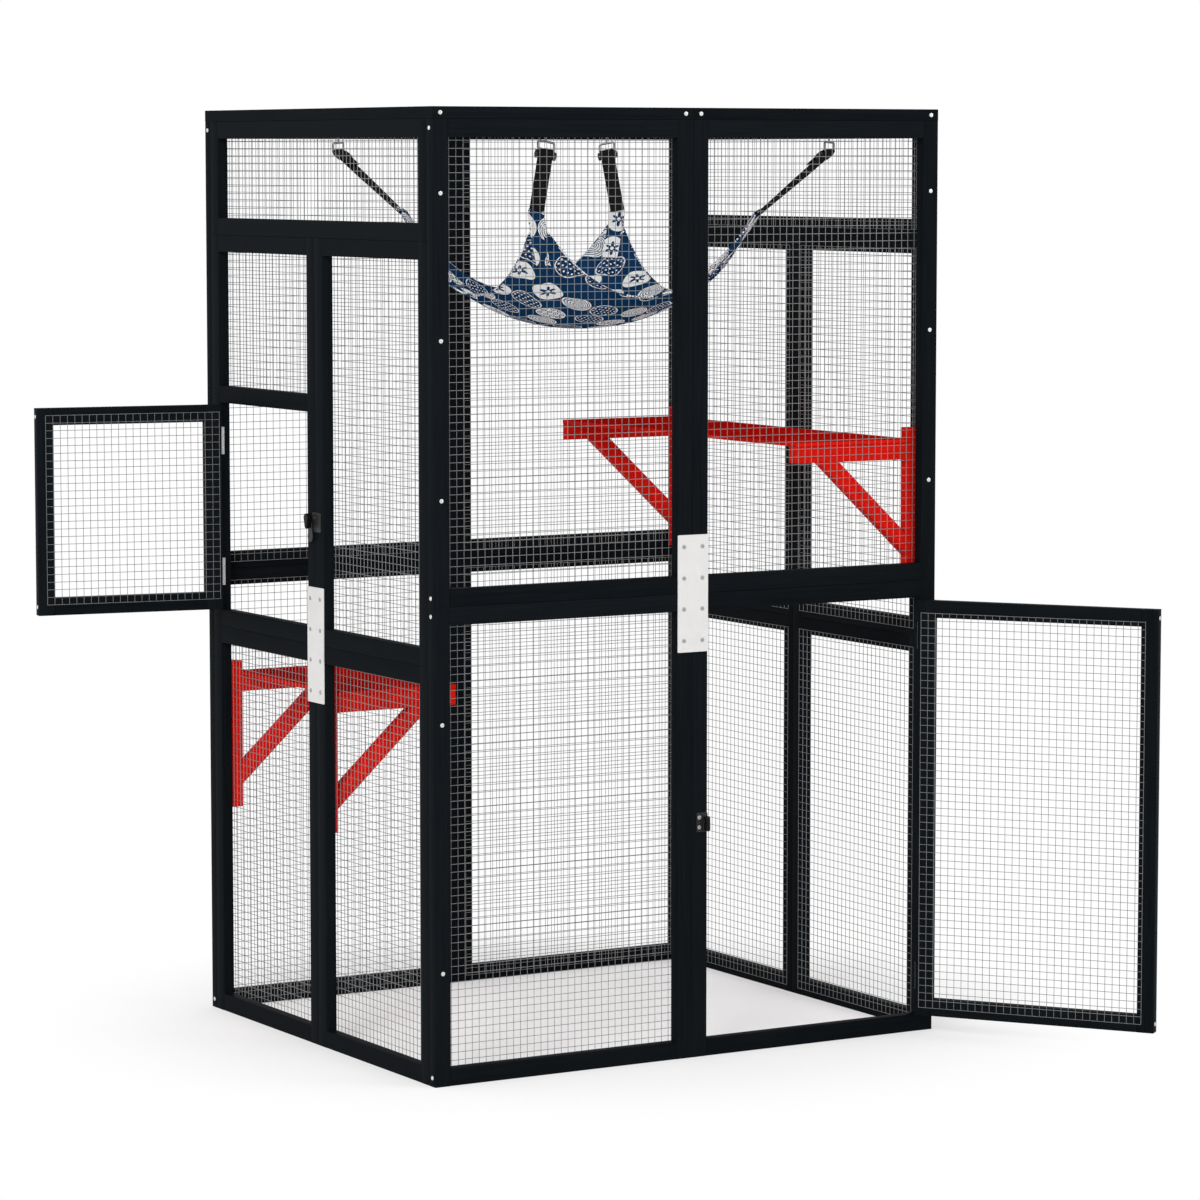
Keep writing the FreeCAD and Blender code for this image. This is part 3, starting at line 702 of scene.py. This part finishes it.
def latchSet(kind, out, side):
    # a backing plate on the post, and a flat tab with a thick knob on it that turn on the pivot
    node = kind + "_latch_plate"
    low, high = (np.array(v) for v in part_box(node))
    out, side = np.array(out, float), np.array(side, float)
    thin = int(np.argmax(abs(out)))
    own = latch[kind]
    low = low - abs(side) * own["widen"]
    backing = flatPlate(low, high, out[thin], thin, latch["corner"], latch["rim"])
    makePiece(node + "_cover", backing, latchGrey, "enclosure", [node], latch["sharp"])
    pivot = np.array(joints[kind + "_latch_turn"]["pos_m"])
    foot = pivot + out * latch["tabThick"] + np.array([0, 0, latch["bossRise"]])
    deep = latch["bossHigh"] - latch["tabThick"]
    knob = teardrop(foot, out, side, deep, latch["bossRise"] + own["knob"], own["boss"], latch["neck"],
                    latch["knobBevel"])
    tab = teardrop(pivot, out, side, latch["tabThick"], own["tab"], latch["neck"], own["tabRound"], latch["tabBevel"])
    body = kind + "_latch"
    makePiece(body + "_knob", knob, latchBlack, body, [], latch["sharp"])
    makePiece(body + "_tab", tab, latchGrey, body, [body + "_lever"], latch["sharp"])


latchSet("front", (0, -1, 0), (1, 0, 0))
latchSet("cat", (-1, 0, 0), (0, 1, 0))
print("latches built")


# hammock

hammock = {"x": 0.026, "halfX": 0.245, "halfY": 0.261, "corner": 1.582, "edge": 1.425, "middle": 1.358, "draw": 0.014,
           "count": 97, "thick": 0.0014, "wrinkle": 0.0035, "folds": 11, "foldReach": 0.9, "foldFade": 1.5,
           "flat": (0.61, 0.63), "hollow": 0.062}


def clothGrid():
    # a square hung by its corners: edges drawn in, height a product of parabolas, small folds running to the corners
    s, t = np.meshgrid(np.linspace(-1, 1, hammock["count"]), np.linspace(-1, 1, hammock["count"]), indexing="ij")
    edge, middle = hammock["edge"], hammock["middle"]
    x = s * (hammock["halfX"] - hammock["draw"] * (1 - t * t) * abs(s))
    y = t * (hammock["halfY"] - hammock["draw"] * (1 - s * s) * abs(t))
    z = middle + (edge - middle) * (s * s + t * t) + (hammock["corner"] - 2 * edge + middle) * s * s * t * t
    toCorner = np.hypot(1 - abs(s), 1 - abs(t))
    slant = np.arctan2(1 - abs(t), 1 - abs(s) + 1e-9)
    fade = np.sin(np.clip(toCorner / hammock["foldReach"], 0, 1) * math.pi) ** hammock["foldFade"]
    fold = np.sin(slant * hammock["folds"]) * fade
    z = z + hammock["wrinkle"] * fold
    return s, t, np.stack([x + hammock["x"], y, z], -1)


def sheetShell(points, uv):
    # an open grid surface
    n, m, _ = points.shape
    i, j = np.meshgrid(np.arange(n - 1), np.arange(m - 1), indexing="ij")
    a = i * m + j
    quads = np.stack([a, a + m, a + m + 1, a + 1], -1).reshape(-1, 4)
    return {"verts": points.reshape(-1, 3), "quads": quads, "tris": np.zeros((0, 3), int),
            "uvQuads": uv.reshape(-1, 2)[quads], "uvTris": np.zeros((0, 3, 2)), "tone": np.zeros(n * m)}


motif = {"scale": 14.5, "scatter": 0.4, "squash": 1.25, "disc": 0.030, "core": 0.028,
         "ringPitch": 0.0135, "ringAt": 0.0042, "ringHalf": 0.0011, "ringDot": 0.0012,
         "dotPitch": 0.009, "dot": 0.0019, "waveTurns": 1300.0, "waveSlant": 260.0, "waveCut": 0.35,
         "petals": 6.0, "petalSwing": 0.0055, "petalReach": 0.0125, "petalHole": 0.0045,
         "shares": (0.0, 0.27, 0.53, 0.76, 1.0),  # rings, dots, waves and flowers, by a cell's random value
         "cloud": 18.0, "thread": 0.0011, "threadDeep": 0.0002, "threadShow": 0.6}
webbing = {"thread": 0.0026, "threadDeep": 0.0005}


def clothMaterial():
    # navy canvas with a scattered print of round motifs, each filled one of four ways
    material, tree, shader = newMaterial("navyPrint", Roughness=0.85, Specular_IOR_Level=0.0)
    uv = addNode(tree, "ShaderNodeUVMap", uv_map="UVMap").outputs[0]
    cells = addNode(tree, "ShaderNodeTexVoronoi", voronoi_dimensions="2D",
                    values={"Vector": uv, "Scale": motif["scale"], "Randomness": motif["scatter"]})
    offset = addNode(tree, "ShaderNodeVectorMath", operation="SUBTRACT",
                     values={0: uv, 1: cells.outputs["Position"]}).outputs[0]
    part = addNode(tree, "ShaderNodeSeparateXYZ", {0: offset}).outputs
    pick = addNode(tree, "ShaderNodeSeparateColor", {0: cells.outputs["Color"]}).outputs[0]
    stretched = calc(tree, "MULTIPLY", part[1], motif["squash"])

    def far(a, b):
        return calc(tree, "SQRT", calc(tree, "ADD", calc(tree, "MULTIPLY", a, a), calc(tree, "MULTIPLY", b, b)))

    radius = far(part[0], stretched)
    disc = calc(tree, "LESS_THAN", radius, motif["disc"])
    core = calc(tree, "LESS_THAN", radius, motif["core"])
    outline = calc(tree, "SUBTRACT", disc, core)

    def repeat(pitch):
        # distance from the middle of a small square cell
        a = calc(tree, "SUBTRACT", calc(tree, "WRAP", part[0], pitch, 0.0), pitch / 2)
        b = calc(tree, "SUBTRACT", calc(tree, "WRAP", part[1], pitch, 0.0), pitch / 2)
        return far(a, b)

    ringAt = repeat(motif["ringPitch"])
    rings = calc(tree, "COMPARE", ringAt, motif["ringAt"], motif["ringHalf"])
    rings = calc(tree, "MAXIMUM", rings, calc(tree, "LESS_THAN", ringAt, motif["ringDot"]))
    dots = calc(tree, "LESS_THAN", repeat(motif["dotPitch"]), motif["dot"])
    slanted = calc(tree, "MULTIPLY", part[0], motif["waveSlant"])
    wave = calc(tree, "SINE", calc(tree, "MULTIPLY_ADD", radius, motif["waveTurns"], slanted))
    waves = calc(tree, "GREATER_THAN", wave, motif["waveCut"])
    angle = calc(tree, "ARCTAN2", part[1], part[0])
    lobes = calc(tree, "COSINE", calc(tree, "MULTIPLY", angle, motif["petals"]))
    petal = calc(tree, "MULTIPLY_ADD", lobes, motif["petalSwing"], motif["petalReach"])
    hole = calc(tree, "LESS_THAN", radius, motif["petalHole"])
    flower = calc(tree, "SUBTRACT", calc(tree, "LESS_THAN", radius, petal), hole)

    def band(low, high):
        return calc(tree, "MULTIPLY", calc(tree, "GREATER_THAN", pick, low), calc(tree, "LESS_THAN", pick, high))

    cuts = motif["shares"]
    lined = calc(tree, "MULTIPLY", band(cuts[1], cuts[2]), calc(tree, "MULTIPLY", core, dots))
    white = calc(tree, "MAXIMUM", outline, lined)
    for first, mark in ((0, rings), (2, waves), (3, flower)):  # white discs with navy marks
        marked = calc(tree, "SUBTRACT", core, calc(tree, "MULTIPLY", core, mark))
        white = calc(tree, "MAXIMUM", white, calc(tree, "MULTIPLY", band(cuts[first], cuts[first + 1]), marked))
    cloud = addNode(tree, "ShaderNodeTexNoise", {"Vector": uv, "Scale": motif["cloud"], "Detail": 5.0}).outputs[0]
    ground = blendColour(tree, cloud, (0.003, 0.019, 0.058, 1), (0.008, 0.056, 0.155, 1))
    ink = blendColour(tree, cloud, (0.88, 0.89, 0.9, 1), (0.97, 0.97, 0.98, 1))
    tree.links.new(blendColour(tree, white, ground, ink), shader.inputs["Base Color"])
    use = addNode(tree, "ShaderNodeGroup", {"Vector": uv, "Pitch": motif["thread"]}, node_tree=weave)
    addBump(tree, shader, use.outputs["Height"], motif["threadDeep"], motif["threadShow"])
    return material


def webbingMaterial():
    # woven black tape, with a painted highlight where a thread rises and painted shade between the threads
    material, tree, shader = newMaterial("blackWebbing", Roughness=0.8, Specular_IOR_Level=0.03)
    uv = addNode(tree, "ShaderNodeUVMap", uv_map="UVMap").outputs[0]
    use = addNode(tree, "ShaderNodeGroup", {"Vector": uv, "Pitch": webbing["thread"]}, node_tree=weave)
    # painted highlight and painted shade: the colour follows the weave's height, lighter on top of the threads
    shade = blendColour(tree, use.outputs["Height"], (0.004, 0.004, 0.005, 1), (0.021, 0.021, 0.023, 1))
    tree.links.new(shade, shader.inputs["Base Color"])
    addBump(tree, shader, use.outputs["Height"], webbing["threadDeep"])
    return material


navyPrint, blackWebbing = clothMaterial(), webbingMaterial()
s, t, surface = clothGrid()
flatX, flatY, hollow = *hammock["flat"], hammock["hollow"]  # the cut's four edges are parabolas, hollow at the middle
flatUv = np.stack([s * (flatX / 2 - hollow * (1 - t * t)), t * (flatY / 2 - hollow * (1 - s * s))], -1)
cloth = makePiece("hammock_sheet", sheetShell(surface, flatUv), navyPrint, "enclosure",
                  ["hammock_cloth"], sharp=180)
thicken = cloth.modifiers.new("thickness", "SOLIDIFY")
thicken.thickness = hammock["thick"]
thicken.offset = 0


def tube(path, radius, sides=10):
    # a round wire: a circle carried along points, turned with the path
    path = np.asarray(path, float)
    tangent = np.gradient(path, axis=0)
    tangent /= np.linalg.norm(tangent, axis=1)[:, None]
    helper = np.array([0, 0, 1.0]) if abs(tangent[:, 2]).max() < 0.9 else np.linalg.svd(path - path.mean(0))[2][2]
    sideA = np.cross(tangent, helper)
    sideA /= np.linalg.norm(sideA, axis=1)[:, None]
    sideB = np.cross(tangent, sideA)
    turn = np.arange(sides) * 2 * math.pi / sides
    circle = np.cos(turn)[:, None] * sideA[:, None] + np.sin(turn)[:, None] * sideB[:, None]
    points = path[:, None] + radius * circle
    length = np.concatenate([[0], np.cumsum(np.linalg.norm(np.diff(path, axis=0), axis=1))])
    return sweep(points[None], length, np.linspace(0, 2 * math.pi * radius, sides + 1))


hem = {"radius": 0.0016, "sides": 8}
rims = [tube(line, hem["radius"], hem["sides"]) for line in (surface[0], surface[-1], surface[:, 0], surface[:, -1])]
hemPiece = makePiece("hammock_hem", joinShells(rims), navyPrint, "enclosure", [], 60)
print("hammock sheet built")

strap = {"half": 0.014, "thick": 0.0018, "overlap": 0.004, "loop": 0.0028, "tail": 0.05,
         "twist": -0.32, "twistStart": 0.35,  # the turn about its length, and the share of it at the cloth
         "lowerSteps": 12, "bendSteps": 9, "tailSteps": 8}
ear = {"half": 0.0155, "thick": 0.001, "lift": 0.002, "down": 9, "up": 0.012,  # down: rows of the cloth's grid
       "slide": (0.0, 0.0345)}  # how far the print is slid on two of them
hook = {"x": 0.310, "y": 0.414, "drop": 0.055, "wire": 0.00135, "bend": 0.00225, "tip": 0.009, "roofFoot": 1.7562,
        "wireMiddle": 1.75665, "loopWide": 0.03, "loopHigh": 0.016, "loopRound": 0.003, "loopWire": 0.0021,
        "cornerSteps": 6, "loopSides": 12}
slider = {"down": 0.014, "half": 0.0165, "high": 0.018, "bar": 0.003, "cheek": 0.00345, "bulge": 0.001, "sides": 12}


def ribbon(line, across, half, thick):
    # flat webbing: a thin rounded strip carried along a line, its width along across
    step = np.gradient(line, axis=0)
    step /= np.linalg.norm(step, axis=1)[:, None]
    normal = np.cross(step, across)
    normal /= np.linalg.norm(normal, axis=1)[:, None]
    wide = np.cross(normal, step)
    ring = roundedRing(np.array([2 * half]), np.array([thick]), thick * 0.45, np.zeros(1), 4)[0, 0]
    points = (line[:, None] + (ring[:, 0] - half)[None, :, None] * wide[:, None]
              + (ring[:, 1] - thick / 2)[None, :, None] * normal[:, None])
    length = np.concatenate([[0], np.cumsum(np.linalg.norm(np.diff(line, axis=0), axis=1))])
    edge = np.linalg.norm(np.roll(ring, -1, 0) - ring, axis=1)
    return sweep(points[None], length, np.concatenate([[0], np.cumsum(edge)]))


straps, sliders, hooks, ears = [], [], [], []
for sx in (-1, 1):
    for sy in (-1, 1):
        corner = np.array([hammock["x"] + sx * hammock["halfX"], sy * hammock["halfY"], hammock["corner"]])
        bar = np.array([hammock["x"] + sx * hook["x"], sy * (hook["y"] - hook["bend"]),
                        hook["roofFoot"] - hook["drop"]])
        run = np.linalg.norm(bar - corner)
        pull = (bar - corner) / run
        across = np.array([sx, -sy, 0.0]) / math.sqrt(2)
        across = across - pull * across.dot(pull)
        across /= np.linalg.norm(across)
        facing = np.cross(pull, across)
        around = np.linspace(-math.pi / 2, math.pi / 2, strap["bendSteps"])
        climb = np.linspace(-strap["overlap"], run, strap["lowerSteps"])
        lower = np.stack([climb, np.full(strap["lowerSteps"], -strap["loop"])], 1)
        bend = np.stack([run + strap["loop"] * np.cos(around), strap["loop"] * np.sin(around)], 1)
        fall = np.linspace(run, run - strap["tail"], strap["tailSteps"])
        back = np.stack([fall, np.full(strap["tailSteps"], strap["loop"])], 1)
        route = np.concatenate([lower[:-1], bend, back[1:]])
        along = np.clip(route[:, :1] / (run - strap["tail"]), 0, 1)
        gain = strap["twistStart"] + (1 - strap["twistStart"]) * along * along * (3 - 2 * along)
        turn = (strap["twist"] if sx != sy else 0.0) * gain
        wide = across * np.cos(turn) + facing * np.sin(turn)
        proud = facing * np.cos(turn) - across * np.sin(turn)
        line = corner + route[:, :1] * pull + route[:, 1:] * proud
        straps.append(ribbon(line, wide, strap["half"], strap["thick"]))
        level = wide[-1]  # the strap's width where it passes the slider
        rows = np.arange(ear["down"], -1, -1)
        seam = surface[rows if sx < 0 else -1 - rows, rows if sy < 0 else -1 - rows]  # up the cloth's diagonal
        seam = np.concatenate([seam, corner + np.linspace(0.25, 1, 4)[:, None] * ear["up"] * pull])
        slide = np.array(ear["slide"]) * (sx != sy)
        for face in (-1, 1):
            patch = ribbon(seam + facing * face * ear["lift"], across, ear["half"], ear["thick"])
            patch["uvQuads"] = patch["uvQuads"] + slide
            patch["uvTris"] = patch["uvTris"] + slide
            ears.append(patch)
        middle = bar - pull * slider["down"]
        for row in (-1, 0, 1):  # three bars across the strap, and two cheeks
            place = middle + pull * row * (slider["high"] / 2 - slider["bar"])
            reach = level * slider["half"]
            sliders.append(tube([place - reach, place, place + reach], slider["bar"], slider["sides"]))
        for end in (-1, 1):
            place = middle + level * end * slider["half"]
            reach, bulge = pull * (slider["high"] / 2), level * end * slider["bulge"]
            sliders.append(tube([place - reach, place + bulge, place + reach], slider["cheek"], slider["sides"]))
        outward = np.array([0, sy, 0.0])
        up = np.array([0, 0, 1.0])
        centre = np.array([bar[0], bar[1], hook["wireMiddle"]]) + outward * hook["bend"]
        turn = np.linspace(0, math.pi, 13)
        arc = centre - outward * hook["bend"] * np.cos(turn)[:, None] + up * hook["bend"] * np.sin(turn)[:, None]
        foot = bar + up * hook["loopHigh"]
        stem = foot + (arc[0] - foot) * np.linspace(0, 1, 6)[:, None]
        tip = arc[-1] - up * hook["tip"] * np.linspace(0, 1, 4)[:, None]
        hooks.append(tube(np.concatenate([stem[:-1], arc, tip[1:]]), hook["wire"]))
        wide, high = np.array([hook["loopWide"]]), np.array([hook["loopHigh"]])
        ring = roundedRing(wide, high, hook["loopRound"], np.zeros(1), hook["cornerSteps"])[0, 0]
        ring = np.concatenate([ring, ring[:1]])  # a closed loop, the strap round its foot
        loop = bar + (ring[:, :1] - hook["loopWide"] / 2) * level + ring[:, 1:] * up
        hooks.append(tube(loop, hook["loopWire"], hook["loopSides"]))
for name, shells, finish, slot, replaced in (
        ("hammock_ears", ears, navyPrint, "hammock_cloth", []),
        ("hammock_webbing", straps, blackWebbing, "webbing", ["hammock_straps"]),
        ("hammock_glides", sliders, sliderNylon, "black_plastic", ["hammock_sliders"]),
        ("hammock_wire_hooks", hooks, hookChrome, "hook_steel", ["hammock_hooks"])):
    makePiece(name, joinShells(shells), finish, "enclosure", replaced, sharp=50)
print("hammock fittings built")


# floor, light and camera

studio = {"floorHalf": 40.0, "floorTone": 0.95, "worldLight": 0.75, "lampAim": (0, 0, 0.9),
          "shadeNear": 0.6, "shadeFar": 1.1, "whiteNear": 0.36}
lamps = {"key": {"spot": (-5.0, -4.0, 4.5), "size": 3.0, "power": 260},
         "fill": {"spot": (4.5, -5.0, 3.0), "size": 3.5, "power": 90}}
view = {"from": (-4.4286, -7.5825, 1.6888), "aim": (-0.0070, -0.1382, 0.8394), "lens": 135.36, "sensor": 36.0,
        "clipEnd": 200}


def seenDirectly(tree):
    # 1 for rays from the camera, a reflection or clear glass
    seen = addNode(tree, "ShaderNodeLightPath").outputs
    bounced = calc(tree, "MAXIMUM", seen["Is Glossy Ray"], seen["Is Transmission Ray"])
    return calc(tree, "MAXIMUM", seen["Is Camera Ray"], bounced)


def makeFloor():
    # a wide plane, pale by the object and plain white beyond it
    mesh = bpy.data.meshes.new("floor")
    half = studio["floorHalf"]
    mesh.from_pydata([(-half, -half, 0), (half, -half, 0), (half, half, 0), (-half, half, 0)], [], [(0, 1, 2, 3)])
    floor = bpy.data.objects.new("floor", mesh)
    bpy.context.scene.collection.objects.link(floor)
    material, tree, shader = newMaterial("paleFloor", Roughness=0.9, Specular_IOR_Level=0.0)
    shader.inputs["Base Color"].default_value = (studio["floorTone"],) * 3 + (1,)
    place = addNode(tree, "ShaderNodeTexCoord").outputs["Object"]
    away = addNode(tree, "ShaderNodeVectorMath", {0: place}, operation="LENGTH").outputs["Value"]
    reach = {"Value": away, "From Min": studio["shadeNear"], "From Max": studio["shadeFar"],
             "To Min": studio["whiteNear"], "To Max": 1.0}  # the floor goes white away from the object
    white = addNode(tree, "ShaderNodeMapRange", reach, interpolation_type="SMOOTHSTEP").outputs["Result"]
    glow = addNode(tree, "ShaderNodeEmission", {"Color": (1, 1, 1, 1), "Strength": 1.0}).outputs[0]
    share = calc(tree, "MULTIPLY", white, seenDirectly(tree))
    mix = addNode(tree, "ShaderNodeMixShader", {0: share, 1: shader.outputs[0], 2: glow})
    tree.links.new(mix.outputs[0], tree.nodes["Material Output"].inputs["Surface"])
    mesh.materials.append(material)


def facingFrom(start, end):
    # the turn that points a light or a camera from start to end
    return (Vector(end) - Vector(start)).to_track_quat("-Z", "Y").to_euler()


def makeLight(name, spot, size, power):
    # a round soft light that faces the object
    lamp = bpy.data.lights.new(name, "AREA")
    lamp.shape, lamp.size, lamp.energy = "DISK", size, power
    light = bpy.data.objects.new(name, lamp)
    light.location = spot
    light.rotation_euler = facingFrom(spot, studio["lampAim"])
    bpy.context.scene.collection.objects.link(light)


def makeWorld():
    # even light all round, seen as plain white
    world = bpy.data.worlds.new("studio")
    bpy.context.scene.world = world
    world.use_nodes = True
    tree = world.node_tree
    tree.nodes.clear()
    level = calc(tree, "MULTIPLY_ADD", seenDirectly(tree), 1 - studio["worldLight"], studio["worldLight"])
    shade = addNode(tree, "ShaderNodeBackground", {"Color": (1, 1, 1, 1), "Strength": level})
    out = addNode(tree, "ShaderNodeOutputWorld")
    tree.links.new(shade.outputs[0], out.inputs["Surface"])


makeFloor()
makeWorld()
for name, lamp in lamps.items():
    makeLight(name, **lamp)
camera = bpy.data.objects.new("camera", bpy.data.cameras.new("camera"))
camera.location = view["from"]
camera.rotation_euler = facingFrom(view["from"], view["aim"])
camera.data.lens, camera.data.sensor_width, camera.data.clip_end = view["lens"], view["sensor"], view["clipEnd"]
bpy.context.scene.collection.objects.link(camera)
bpy.context.scene.camera = camera
bpy.context.scene.view_settings.view_transform = "Standard"
print("studio set")
